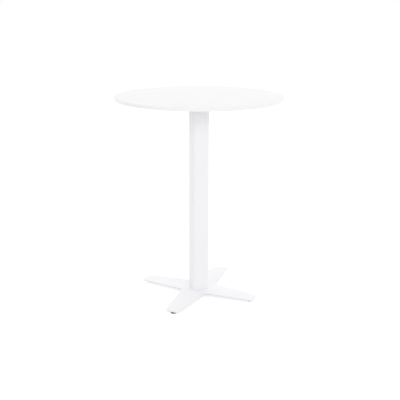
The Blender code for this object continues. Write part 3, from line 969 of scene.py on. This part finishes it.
def build_world(stage):
    """Even white light from all round, behind a white backdrop."""
    world = bpy.data.worlds.new("studio_white")
    world.use_nodes = True
    tree = world.node_tree
    tree.nodes.clear()
    light = add_node(tree, "ShaderNodeBackground", (0, 100), {"Strength": stage.ambient, "Color": WHITE})
    backdrop = add_node(tree, "ShaderNodeBackground", (0, -100), {"Strength": 1.0, "Color": WHITE})
    inputs = {
        "Fac": backdrop_rays(tree, (-700, 350)),
        1: light.outputs["Background"],
        2: backdrop.outputs["Background"],
    }
    mix = add_node(tree, "ShaderNodeMixShader", (300, 0), inputs)
    add_node(tree, "ShaderNodeOutputWorld", (500, 0), {"Surface": mix.outputs["Shader"]})
    bpy.context.scene.world = world


# Lamps: place by degrees to the right of the camera, distance from the axis and height, then their sides
Lamp = namedtuple("Lamp", "azimuth distance height width depth")
LAMPS = {
    "left": Lamp(azimuth=-45.0, distance=2.7, height=1.5, width=2.0, depth=0.8),
    "right": Lamp(azimuth=30.0, distance=2.8, height=1.4, width=2.0, depth=0.8),
    "side": Lamp(azimuth=110.0, distance=2.4, height=1.2, width=1.4, depth=1.4),
    "rear_left": Lamp(azimuth=-140.0, distance=2.6, height=1.8, width=1.6, depth=1.6),
    "rear_right": Lamp(azimuth=140.0, distance=2.6, height=1.8, width=1.6, depth=1.6),
    "high": Lamp(azimuth=180.0, distance=1.8, height=2.8, width=1.8, depth=1.8),
}
LAMP_TARGET = Vector((0.0, 0.0, 0.45))


def from_camera_side(stage, azimuth_degrees, distance, height):
    """A place round the table, by its angle to the right of the camera."""
    angle = stage.azimuth + math.radians(azimuth_degrees)
    return (distance * math.sin(angle), -distance * math.cos(angle), height)


def build_lamps(stage):
    """Soft lamps round the table, without highlights, so that the white top clips from no side."""
    for name, plan in LAMPS.items():
        light = bpy.data.lights.new(f"{name}_lamp", "AREA")
        light.energy = getattr(stage, f"{name}_power")
        light.shape = "RECTANGLE"
        light.size = plan.width
        light.size_y = plan.depth
        lamp = bpy.data.objects.new(f"{name}_lamp", light)
        lamp.location = from_camera_side(stage, plan.azimuth, plan.distance, plan.height)
        lamp.rotation_euler = (LAMP_TARGET - lamp.location).to_track_quat("-Z", "Y").to_euler()
        lamp.visible_camera = False
        lamp.visible_glossy = False
        bpy.context.scene.collection.objects.link(lamp)


def build_camera(stage):
    """The camera at the photograph's viewing angle."""
    data = bpy.data.cameras.new("photo_camera")
    data.lens = stage.lens
    camera = bpy.data.objects.new("photo_camera", data)
    look = Matrix.Rotation(stage.azimuth - stage.heading_trim, 4, "Z")
    look @= Matrix.Rotation(math.pi / 2 - stage.pitch, 4, "X")
    look @= Matrix.Rotation(stage.roll, 4, "Z")
    eye = from_camera_side(stage, 0.0, stage.distance, stage.eye_height)
    camera.matrix_world = Matrix.Translation(eye) @ look
    bpy.context.scene.collection.objects.link(camera)
    bpy.context.scene.camera = camera


class ROUNDTABLE_OT_stage(Operator):
    """Set up the floor, the soft light and the camera"""

    bl_idname = "round_table.stage"
    bl_label = "Stage"

    def execute(self, context):
        stage = context.scene.round_table.stage
        context.scene.view_settings.view_transform = "Standard"
        build_floor(stage)
        build_world(stage)
        build_lamps(stage)
        build_camera(stage)
        return {"FINISHED"}


class ROUNDTABLE_OT_tabletop(Operator):
    """Build the round faced board, with a pilot hole for each wood screw"""

    bl_idname = "round_table.tabletop"
    bl_label = "Tabletop"

    def execute(self, context):
        table = context.scene.round_table
        top = table.top
        low = underside_of_top(table)
        high = top.height
        rim = top.diameter - 2 * (top.band_thickness + SEAT_GAP)
        flat = rim - 2 * top.arris
        spokes = (0.1, 0.4, 0.7)  # rings across the flat faces, as shares of the diameter
        profile = [(flat * part, low) for part in spokes]
        profile += [(flat, low), (rim, low + top.arris), (rim, high - top.arris), (flat, high)]
        profile += [(flat * part, high) for part in reversed(spokes)]
        bm = bmesh.new()
        turned(bm, profile, TOP_FACETS)
        board = mesh_object("tabletop", bm)
        holes = bmesh.new()
        hole = table.fastener.screw_diameter + 2 * FIT_GAP
        for place in screw_places(table):
            ends = [(hole, low - CUT_PAST), (hole, low + table.fastener.screw_bite + FIT_GAP)]
            turned(holes, ends, SCREW_FACETS, place)
        carve(board, "DIFFERENCE", holes)
        shade(board)
        dress(board, table.finish, "white_facing", "table", "top_board")
        return {"FINISHED"}


BAND_JOINT_PLACE = math.pi / 2 + math.radians(40.0)  # angle round the top, from the right arm


class ROUNDTABLE_OT_edge_band(Operator):
    """Build the plastic band round the board, with a fine joint at the back where its ends meet"""

    bl_idname = "round_table.edge_band"
    bl_label = "Edge band"

    def execute(self, context):
        table = context.scene.round_table
        top = table.top
        outer = top.diameter / 2
        inner = outer - top.band_thickness
        low = underside_of_top(table)
        arris = top.arris
        section = round_off([
            (inner, low, arris), (outer, low, top.band_lower_rounding),
            (outer, top.height, top.band_rounding), (inner, top.height, arris),
        ])
        half_joint = top.band_joint / top.diameter
        start = BAND_JOINT_PLACE + half_joint
        sweep = 2 * math.pi - 2 * half_joint
        rings = []
        for i in range(TOP_FACETS + 1):
            angle = start + sweep * i / TOP_FACETS
            rings.append([polar(radius, angle, height) for radius, height in section])
        add_piece("edge_band", rings, table.finish, "white_edge", "table", "top_edge_band")
        return {"FINISHED"}


class ROUNDTABLE_OT_spider(Operator):
    """Build the four-armed carrier under the board, with a spigot that drops into the column"""

    bl_idname = "round_table.spider"
    bl_label = "Spider"

    def execute(self, context):
        table = context.scene.round_table
        star = table.spider
        bottom = spider_bottom(table)
        top = bottom + star.thickness
        bm = bmesh.new()
        star_slab(bm, star, lambda along: bottom, lambda along: top)
        spider = mesh_object("support_spider", bm)
        side, corner = spigot_section(table)
        low = bottom - star.spigot_height
        spigot = bmesh.new()
        loft(spigot, [
            rounded_square(side - 2 * SPIGOT_LEAD, corner - SPIGOT_LEAD, low),
            rounded_square(side, corner, low + SPIGOT_LEAD),
            rounded_square(side, corner, bottom + star.thickness / 2),
        ])
        carve(spider, "UNION", spigot)
        holes = bmesh.new()
        seat = spider_rod_seat(table)
        rod_hole = table.fastener.rod_diameter + 2 * HOLE_CLEARANCE
        bore = spanner_bore(table)
        turned(holes, [(rod_hole, low - CUT_PAST), (rod_hole, seat), (bore, seat), (bore, top + CUT_PAST)])
        screw_hole = table.fastener.screw_diameter + 2 * HOLE_CLEARANCE
        ends = [(screw_hole, bottom - CUT_PAST), (screw_hole, top + CUT_PAST)]
        for place in screw_places(table):
            turned(holes, ends, SCREW_FACETS, place)
        carve(spider, "DIFFERENCE", holes)
        shade(spider)
        dress(spider, table.finish, "white_coat", "table", "top_spider")
        return {"FINISHED"}


# A wood screw: the outline of its head, from below, as shares of the head's diameter and height
SCREW_DOME = ((0.10, 1.0), (0.45, 0.97), (0.70, 0.86), (0.88, 0.64), (0.97, 0.36), (1.0, 0.12), (0.985, 0.0))
RECESS_LENGTH = 0.5  # of a slot of the cross recess, as a share of the head's diameter
RECESS_DEPTH = 0.6  # as a share of the head's height
RECESS_MOUTH = 1.3  # length of a slot's cutter below the head, as a share of the slot's
RECESS_POINT = 0.45  # length at the bottom of the recess, as a share of the slot's
SLOT_HALF_WIDTH = 0.11  # as a share of the slot's length
SLOT_TAPER = 0.4  # part of the width that changes with the length
SCREW_THREAD_DEPTH = 0.0007
SCREW_NECK = 0.001  # plain shank under the head
SCREW_POINT_SHARE = 0.08  # of the diameter, left at the screw's point
SCREW_TURN = 0.7  # radians between the slots of one screw and the next


def driver_slot(length, depth, turn, face):
    """The cutter for one slot of a cross recess, opening downwards from the height face."""
    bm = bmesh.new()
    spin = Matrix.Rotation(turn, 3, "Z")
    rings = []
    for height, part in ((face - depth, RECESS_MOUTH), (face + depth, RECESS_POINT)):
        x = length / 2 * part
        y = SLOT_HALF_WIDTH * length * (1.0 - SLOT_TAPER + SLOT_TAPER * part)
        corners = ((-x, -y), (x, -y), (x, y), (-x, y))
        rings.append([spin @ Vector((a, b, height)) for a, b in corners])
    loft(bm, rings)
    return bm


class ROUNDTABLE_OT_spider_screws(Operator):
    """Build the round-headed wood screws, driven up through the spider into the board"""

    bl_idname = "round_table.spider_screws"
    bl_label = "Spider screws"

    def execute(self, context):
        table = context.scene.round_table
        sizes = table.fastener
        bearing = spider_bottom(table) - SEAT_GAP
        point = underside_of_top(table) + sizes.screw_bite - bearing
        head = sizes.screw_head
        height = sizes.screw_head_height
        rings = [ring(part * head, -level * height, SCREW_FACETS) for part, level in SCREW_DOME]
        rings.append(ring(sizes.screw_diameter - 2 * SCREW_THREAD_DEPTH, 0.0, SCREW_FACETS))
        rings += thread_rings(
            sizes.screw_diameter,
            SCREW_THREAD_DEPTH,
            sizes.screw_pitch,
            SCREW_NECK,
            point,
            SCREW_FACETS,
            SCREW_POINT_SHARE,
        )
        bm = bmesh.new()
        loft(bm, rings)
        first = mesh_object("spider_wood_screw_1", bm)
        for turn in (0.0, math.pi / 2):
            slot = driver_slot(RECESS_LENGTH * head, RECESS_DEPTH * height, turn, -height)
            carve(first, "DIFFERENCE", slot)
        shade(first)
        for number, (x, y) in enumerate(screw_places(table), start=1):
            screw = first
            if number > 1:
                screw = bpy.data.objects.new(f"spider_wood_screw_{number}", first.data.copy())
                context.scene.collection.objects.link(screw)
            screw.location = (x, y, bearing)
            screw.rotation_euler = (0.0, 0.0, SCREW_TURN * number)
            dress(screw, table.finish, "zinc_steel", "table", f"spider_screw_{number}")
        return {"FINISHED"}


class ROUNDTABLE_OT_column(Operator):
    """Build the square tube with wide round corners"""

    bl_idname = "round_table.column"
    bl_label = "Column"

    def execute(self, context):
        table = context.scene.round_table
        sizes = table.column
        low = hub_top(table) + SEAT_GAP
        high = spider_bottom(table) - SEAT_GAP
        bevel = sizes.end_bevel
        wall = sizes.wall
        walls = [
            (bevel, low), (0.0, low + bevel), (0.0, high - bevel), (bevel, high),
            (wall - bevel, high), (wall, high - bevel), (wall, low + bevel), (wall - bevel, low),
        ]  # depth under the outer face, and height
        rings = []
        for depth, height in walls:
            rings.append(rounded_square(sizes.side - 2 * depth, sizes.corner_radius - depth, height))
        add_piece("column_tube", rings, table.finish, "white_coat", "table", "column", closed=True)
        return {"FINISHED"}


# The tie rod and what is on it
ROD_THREAD_DEPTH = 0.0009
NUT_CROWN = 0.95  # flat end of a nut, as a share of the width across its flats
BORE_SINK = 0.0012  # how much wider the mouth of a nut's bore is
SINK_DEPTH = 0.0006
WASHER_EDGE = 0.0002  # edges that the punch leaves sharp
WASHER_ROLL = 0.0008  # outer edge, rolled over by the punch
WASHER_HOLE_ROLL = 0.0004
SPRING_EDGE = 0.0003
SPRING_SKEW = 0.12  # slant of the spring washer's ends, in radians round the rod


def rod_stack(table):
    """Bottom heights of the pieces on the tie rod, and the rod's own two ends."""
    sizes = table.fastener
    stack = {}
    stack["bottom_washer"] = base_rod_seat(table) - FIT_GAP - sizes.washer_thickness
    stack["spring_washer"] = stack["bottom_washer"] - FIT_GAP - sizes.spring_thickness
    stack["bottom_nut"] = stack["spring_washer"] - FIT_GAP - sizes.nut_height
    stack["top_washer"] = spider_rod_seat(table) + FIT_GAP
    stack["top_nut"] = stack["top_washer"] + sizes.washer_thickness + FIT_GAP
    stack["rod_low"] = stack["bottom_nut"] - sizes.rod_overhang
    stack["rod_high"] = stack["top_nut"] + sizes.nut_height + sizes.rod_overhang
    return stack


class ROUNDTABLE_OT_tie_rod(Operator):
    """Build the rod that clamps base, column and spider together, threaded at both ends"""

    bl_idname = "round_table.tie_rod"
    bl_label = "Tie rod"

    def execute(self, context):
        table = context.scene.round_table
        sizes = table.fastener
        stack = rod_stack(table)
        low = stack["rod_low"]
        high = stack["rod_high"]
        depth = ROD_THREAD_DEPTH
        blank = sizes.rod_diameter - depth
        lower_end = low + sizes.rod_thread
        upper_end = high - sizes.rod_thread
        rings = thread_rings(sizes.rod_diameter, depth, sizes.rod_pitch, low, lower_end)
        rings += [ring(blank, lower_end + depth), ring(blank, upper_end - depth)]
        rings += thread_rings(sizes.rod_diameter, depth, sizes.rod_pitch, upper_end, high)
        add_piece("clamping_rod", rings, table.finish, "zinc_steel", "table", "tie_rod")
        return {"FINISHED"}


class ROUNDTABLE_OT_rod_nuts(Operator):
    """Build the hexagon nuts on the tie rod, with turned chamfers"""

    bl_idname = "round_table.rod_nuts"
    bl_label = "Rod nuts"

    def execute(self, context):
        table = context.scene.round_table
        sizes = table.fastener
        stack = rod_stack(table)
        bore = sizes.rod_diameter + 2 * FIT_GAP
        sink = bore + BORE_SINK
        for end in ("top", "bottom"):
            low = stack[f"{end}_nut"]
            high = low + sizes.nut_height
            rings = [ring(bore, low + SINK_DEPTH), ring(sink, low)]
            rings += chamfered_hexagon(sizes.nut_flats, NUT_CROWN * sizes.nut_flats, low, high)
            rings += [ring(sink, high), ring(bore, high - SINK_DEPTH)]
            node = f"tie_rod_{end}_nut"
            add_piece(f"rod_nut_{end}", rings, table.finish, "zinc_steel", "table", node, closed=True)
        return {"FINISHED"}


class ROUNDTABLE_OT_rod_washers(Operator):
    """Build the flat washers on the tie rod, with one edge rolled over by the punch"""

    bl_idname = "round_table.rod_washers"
    bl_label = "Rod washers"

    def execute(self, context):
        table = context.scene.round_table
        sizes = table.fastener
        stack = rod_stack(table)
        inner = sizes.rod_diameter + 2 * FIT_GAP
        outer = sizes.washer_diameter
        for end in ("top", "bottom"):
            low = stack[f"{end}_washer"]
            high = low + sizes.washer_thickness
            section = round_off([
                (inner, low, WASHER_EDGE), (outer, low, WASHER_EDGE),
                (outer, high, WASHER_ROLL), (inner, high, WASHER_HOLE_ROLL),
            ])
            rings = [ring(diameter, height) for diameter, height in section]
            node = f"tie_rod_{end}_washer"
            add_piece(f"rod_washer_{end}", rings, table.finish, "zinc_steel", "table", node, closed=True)
        return {"FINISHED"}


class ROUNDTABLE_OT_spring_washer(Operator):
    """Build the split spring washer, pressed flat under its nut"""

    bl_idname = "round_table.spring_washer"
    bl_label = "Spring washer"

    def execute(self, context):
        table = context.scene.round_table
        sizes = table.fastener
        inner = sizes.rod_diameter / 2 + FIT_GAP
        outer = sizes.spring_diameter / 2
        low = rod_stack(table)["spring_washer"]
        high = low + sizes.spring_thickness
        corners = ((inner, low), (outer, low), (outer, high), (inner, high))
        section = round_off([(radius, height, SPRING_EDGE) for radius, height in corners])
        half_split = sizes.spring_split / (inner + outer)
        rings = []
        for i in range(ROUND_FACETS + 1):
            points = []
            for radius, height in section:
                lean = SPRING_SKEW * ((height - low) / (high - low) - 0.5)
                angle = half_split + lean + (2 * math.pi - 2 * half_split) * i / ROUND_FACETS
                points.append(polar(radius, angle, height))
            rings.append(points)
        node = "tie_rod_spring_washer"
        add_piece("rod_spring_washer", rings, table.finish, "zinc_steel", "table", node)
        return {"FINISHED"}


# The base
BOSS_BEVEL = 0.001  # round the lower edge of the hub; the feet's bosses have half of it


def arm_top(table, along):
    """Height of an arm's upper face: level at the hub, then falling evenly to the end of the arm."""
    base = table.base
    hub_half = inset_outline(base, 0.0)[-1][0]
    fall = min(max((along - hub_half) / (base.reach - hub_half), 0.0), 1.0)
    return hub_top(table) - base.rise * fall


def base_bosses(table):
    """The spigot inside the column, the hub under it and a boss over each foot."""
    base = table.base
    side, corner = spigot_section(table)
    seat = hub_top(table)
    inside = seat - base.edge_height / 2
    high = seat + base.spigot_height
    bm = bmesh.new()
    loft(bm, [
        rounded_square(side, corner, inside + FIT_GAP),
        rounded_square(side, corner, high - SPIGOT_LEAD),
        rounded_square(side - 2 * SPIGOT_LEAD, corner - SPIGOT_LEAD, high),
    ])
    bevel = BOSS_BEVEL
    hub_low = seat - base.hub_depth
    hub = base.hub_diameter
    turned(bm, [(hub - 2 * bevel, hub_low), (hub, hub_low + bevel), (hub, inside - FIT_GAP)])
    boss = table.foot.boss_diameter
    boss_low = foot_boss_bottom(table)
    boss_high = arm_top(table, foot_radius(table)) - base.edge_height / 2
    boss_profile = [(boss - bevel, boss_low), (boss, boss_low + bevel / 2), (boss, boss_high)]
    for place in foot_places(table):
        turned(bm, boss_profile, centre=place)
    return bm


def base_pockets(table, bm):
    """Two pockets beside the rib of each arm, with round corners and draft."""
    base = table.base
    near = inset_outline(base, 0.0)[-1 - CORNER_STEPS][0]
    far = foot_radius(table) - table.foot.boss_diameter / 2 - base.skirt
    rib = base.rib_width / 2

    def side(along):
        return base.tip_width / 2 + base.taper * (base.reach - along) - base.skirt

    for angle in ARM_ANGLES:
        spin = Matrix.Rotation(angle, 2)
        for mirror in (1, -1):
            rings = []
            for draft, below in ((0.0, True), (base.pocket_draft, False)):
                corners = [
                    (near + draft, rib + draft), (far - draft, rib + draft),
                    (far - draft, side(far) - draft), (near + draft, side(near) - draft),
                ]
                plan = round_off([(x, mirror * y, base.pocket_radius) for x, y in corners])
                points = []
                for x, y in plan:
                    roof = arm_top(table, x) - base.roof
                    height = roof - base.edge_height - CUT_PAST if below else roof
                    place = spin @ Vector((x, y))
                    points.append(Vector((place.x, place.y, height)))
                rings.append(points)
            loft(bm, rings)


def base_cuts(table):
    """The tie rod's bore, the feet's threaded holes and the pockets under the arms."""
    bm = bmesh.new()
    seat = base_rod_seat(table)
    bore = spanner_bore(table)
    rod_hole = table.fastener.rod_diameter + 2 * HOLE_CLEARANCE
    low = hub_top(table) - table.base.hub_depth - CUT_PAST
    high = hub_top(table) + table.base.spigot_height + CUT_PAST
    turned(bm, [(bore, low), (bore, seat), (rod_hole, seat), (rod_hole, high)])
    hole = table.foot.spindle_diameter + 2 * FIT_GAP
    hole_top = arm_top(table, foot_radius(table)) - table.foot.boss_roof
    for place in foot_places(table):
        turned(bm, [(hole, foot_boss_bottom(table) - CUT_PAST), (hole, hole_top)], centre=place)
    base_pockets(table, bm)
    return bm


class ROUNDTABLE_OT_star_base(Operator):
    """Build the four-armed casting: rounded edges, bosses and spigot, then the bores and pockets"""

    bl_idname = "round_table.star_base"
    bl_label = "Star base"

    def execute(self, context):
        table = context.scene.round_table
        drop = table.base.edge_height
        bm = bmesh.new()
        star_slab(
            bm,
            table.base,
            lambda along: arm_top(table, along) - drop,
            lambda along: arm_top(table, along),
            table.base.end_share,
        )
        base = mesh_object("four_arm_base", bm)
        carve(base, "UNION", base_bosses(table))
        carve(base, "DIFFERENCE", base_cuts(table))
        shade(base)
        dress(base, table.finish, "white_coat", "table", "star_base")
        return {"FINISHED"}


# The feet
PAD_GROOVES = (0.3, 0.52, 0.74)  # radii of the grooves, as shares of the pad's
PAD_MIDDLE = 0.001  # radius of the flat faces where the turned profile starts and ends
NECK_ROUNDING = 0.0003  # round the mouth of the pad's neck
SPINDLE_CROWN = 0.96  # flat ends of the hexagon, as a share of the width across its flats
SPINDLE_THREAD_DEPTH = 0.0007
SPINDLE_END_GAP = 0.0005  # between a spindle's end and the bottom of its hole


class ROUNDTABLE_OT_foot_pads(Operator):
    """Build the plastic pads that stand on the floor, with grooves underneath"""

    bl_idname = "round_table.foot_pads"
    bl_label = "Foot pads"

    def execute(self, context):
        table = context.scene.round_table
        foot = table.foot
        radius = foot.pad_diameter / 2
        cavity = foot.collar_diameter / 2 + FIT_GAP
        cavity_top = foot.pad_floor + foot.collar_height + 2 * FIT_GAP
        neck = foot.neck_diameter / 2 + FIT_GAP
        shoulder = (foot.pad_diameter + foot.hex_flats) / 4
        depth = foot.tread_depth
        half = foot.tread_width / 2
        corners = [(PAD_MIDDLE, 0.0, 0.0)]
        for part in PAD_GROOVES:
            middle = part * radius
            corners += [
                (middle - half, 0.0, 0.0), (middle - half, depth, 0.0),
                (middle + half, depth, 0.0), (middle + half, 0.0, 0.0),
            ]
        corners += [
            (radius, 0.0, foot.pad_rounding),
            (radius, foot.pad_height - foot.pad_dish, foot.pad_rounding),
            (shoulder, foot.pad_height, foot.pad_rounding),
            (neck, foot.pad_height, NECK_ROUNDING),
            (neck, cavity_top, 0.0),
            (cavity, cavity_top, 0.0),
            (cavity, foot.pad_floor, 0.0),
            (PAD_MIDDLE, foot.pad_floor, 0.0),
        ]
        profile = [(2 * r, z) for r, z in round_off(corners, closed=False)]
        for side, place in zip(FOOT_SIDES, foot_places(table)):
            rings = [ring(diameter, height, centre=place) for diameter, height in profile]
            body = f"foot_{side}"
            node = f"foot_pad_{side}"
            add_piece(f"glide_pad_{side}", rings, table.finish, "black_plastic", body, node)
        return {"FINISHED"}


class ROUNDTABLE_OT_foot_spindles(Operator):
    """Build the threaded spindles: a collar in the pad, a hexagon and a thread up into the arm"""

    bl_idname = "round_table.foot_spindles"
    bl_label = "Foot spindles"

    def execute(self, context):
        table = context.scene.round_table
        foot = table.foot
        collar = foot.pad_floor + FIT_GAP
        low = foot.pad_height + FIT_GAP
        high = low + foot.hex_height
        end = arm_top(table, foot_radius(table)) - foot.boss_roof - SPINDLE_END_GAP
        rings = [
            ring(foot.collar_diameter, collar),
            ring(foot.collar_diameter, collar + foot.collar_height),
            ring(foot.neck_diameter, collar + foot.collar_height),
            ring(foot.neck_diameter, low),
        ]
        rings += chamfered_hexagon(foot.hex_flats, SPINDLE_CROWN * foot.hex_flats, low, high)
        rings += thread_rings(foot.spindle_diameter, SPINDLE_THREAD_DEPTH, foot.pitch, high, end)
        for side, (x, y) in zip(FOOT_SIDES, foot_places(table)):
            shift = Vector((x, y, 0.0))
            placed = [[point + shift for point in points] for points in rings]
            body = f"spindle_{side}"
            node = f"foot_spindle_{side}"
            add_piece(f"glide_spindle_{side}", placed, table.finish, "zinc_steel", body, node)
        return {"FINISHED"}


OPERATORS = (
    ROUNDTABLE_OT_stage,
    ROUNDTABLE_OT_tabletop,
    ROUNDTABLE_OT_edge_band,
    ROUNDTABLE_OT_spider,
    ROUNDTABLE_OT_spider_screws,
    ROUNDTABLE_OT_column,
    ROUNDTABLE_OT_tie_rod,
    ROUNDTABLE_OT_rod_nuts,
    ROUNDTABLE_OT_rod_washers,
    ROUNDTABLE_OT_spring_washer,
    ROUNDTABLE_OT_star_base,
    ROUNDTABLE_OT_foot_pads,
    ROUNDTABLE_OT_foot_spindles,
)


class ROUNDTABLE_PT_pieces(Panel):
    """List of the table's pieces and its stage"""

    bl_idname = "ROUNDTABLE_PT_pieces"
    bl_label = "Round Table"
    bl_space_type = "VIEW_3D"
    bl_region_type = "UI"
    bl_category = "Round Table"

    def draw(self, context):
        for operator in OPERATORS:
            self.layout.operator(operator.bl_idname)


SETTINGS = (
    TopSizes,
    ColumnSizes,
    SpiderSizes,
    BaseSizes,
    FastenerSizes,
    FootSizes,
    Finishes,
    StageSettings,
    RoundTableSettings,
)
CLASSES = SETTINGS + OPERATORS + (ROUNDTABLE_PT_pieces,)


def register():
    """Add the settings, the operators and the panel to Blender."""
    for entry in CLASSES:
        bpy.utils.register_class(entry)
    bpy.types.Scene.round_table = PointerProperty(type=RoundTableSettings)


def unregister():
    """Take the settings, the operators and the panel out of Blender."""
    del bpy.types.Scene.round_table
    for entry in reversed(CLASSES):
        bpy.utils.unregister_class(entry)


def main():
    """Build everything in order."""
    register()
    for operator in OPERATORS:
        group, name = operator.bl_idname.split(".")
        getattr(getattr(bpy.ops, group), name)()


if __name__ == "__main__":
    main()
